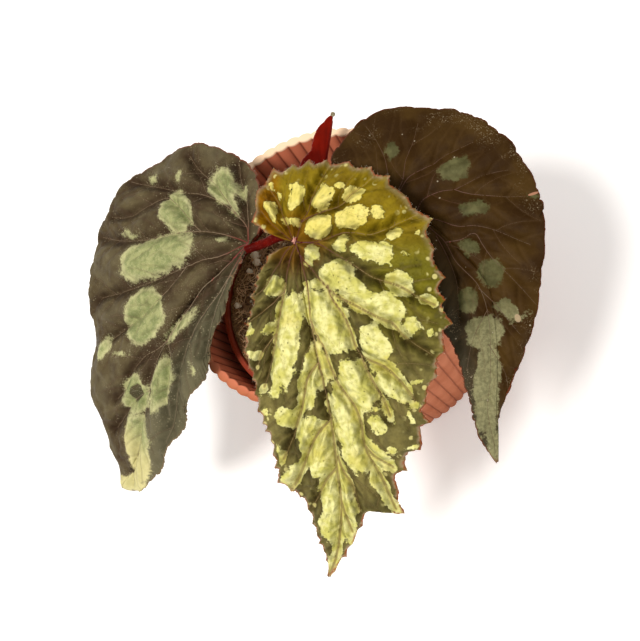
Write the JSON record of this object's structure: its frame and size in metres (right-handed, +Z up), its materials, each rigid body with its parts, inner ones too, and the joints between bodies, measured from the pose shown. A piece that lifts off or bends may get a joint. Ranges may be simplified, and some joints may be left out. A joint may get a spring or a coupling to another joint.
{
  "type": "potted begonia",
  "caption": "Rhizomatous begonia with large spotted, quilted leaves, in a thin nursery pot standing inside a tapered fluted pot.",
  "frame": {"origin": "centre of the fluted pot's underside, on the surface it stands on", "axes": "+Z up out of the pot; the plant's front, where its largest leaf hangs over the rim, faces -Y; +X is to the right seen from the front"},
  "size_m": [0.2408, 0.2086, 0.1547],
  "materials": {
    "fluted_pot": "matt salmon terracotta, ribbed inside and out",
    "nursery_pot": "thin red-brown moulded plastic",
    "potting_mix": "loose dark potting mix with pale perlite and fine roots",
    "rhizome": "scaly brown creeping stem",
    "petiole": "dark red, with soft hairs",
    "leaf_left": "grey-brown, velvety, with silver-green spots",
    "leaf_centre": "olive, quilted, with yellow-green spots and a red toothed edge",
    "leaf_right": "dark brown satin, with muted green spots",
    "leaf_young": "deep red, folded and unopened"
  },
  "bodies": {
    "root": {"fluted_pot": "fluted_pot", "nursery_pot": "nursery_pot", "potting_mix": "potting_mix", "rhizome": "rhizome", "petiole_left": "petiole", "petiole_centre": "petiole", "petiole_right": "petiole", "petiole_young": "petiole", "leaf_left": "leaf_left", "leaf_centre": "leaf_centre", "leaf_right": "leaf_right", "leaf_young": "leaf_young"}
  },
  "joints": []
}
